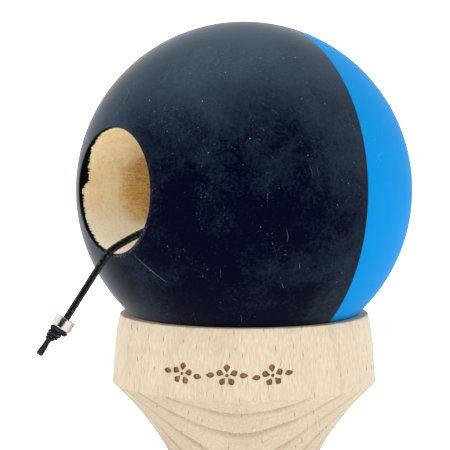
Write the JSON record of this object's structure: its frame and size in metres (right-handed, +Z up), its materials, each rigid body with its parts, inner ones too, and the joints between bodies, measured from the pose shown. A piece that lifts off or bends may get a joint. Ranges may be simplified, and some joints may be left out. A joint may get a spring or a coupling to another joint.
{
  "type": "kendama",
  "caption": "Ball-and-cup toy: a rubber-coated wooden ball on a turned double cup, with a spiked handle and a braided cord with a steel stop bead.",
  "frame": {"origin": "middle of the object's footprint, without the cord, on the surface that the small cup's rim stands on", "axes": "+X along the handle towards the spike, +Y to the back, +Z up along the cross-piece towards the big cup"},
  "size_m": [0.168, 0.0695, 0.1218],
  "materials": {
    "beech": "bare turned beech with short brown pore flecks",
    "navy_rubber": "matte, dusty, with fine scratches",
    "blue_rubber": "matte",
    "steel": "polished",
    "cord": "tight round braid",
    "tie": "woven band"
  },
  "bodies": {
    "root": {"cross_piece": "beech", "ken": "beech", "lock_knot": "cord", "string_ball_to_coil": "cord", "string_coil": "cord", "string_to_cross_piece": "cord", "coil_tie": "tie"},
    "string_end": {"string_in_ball": "cord", "end_knot": "cord"},
    "ball": {"ball_core": "beech", "navy_coat": "navy_rubber", "blue_coat": "blue_rubber"},
    "bead": {"stop_bead": "steel"}
  },
  "joints": [
    {"name": "ball_lift", "type": "slide", "parent": "root", "child": "string_end", "axis": [0, 0, 1], "range_m": [0, 0.05], "deforming": ["string_ball_to_coil"]},
    {"name": "ball_spin", "type": "hinge", "parent": "string_end", "child": "ball", "pos_m": [0.018, 0, 0.092], "axis": [-0.8102, -0.5844, 0.0454], "continuous": true},
    {"name": "bead_slide", "type": "slide", "parent": "string_end", "child": "bead", "axis": [0.5353, 0.1203, 0.8361], "range_m": [0, 0.009]}
  ]
}
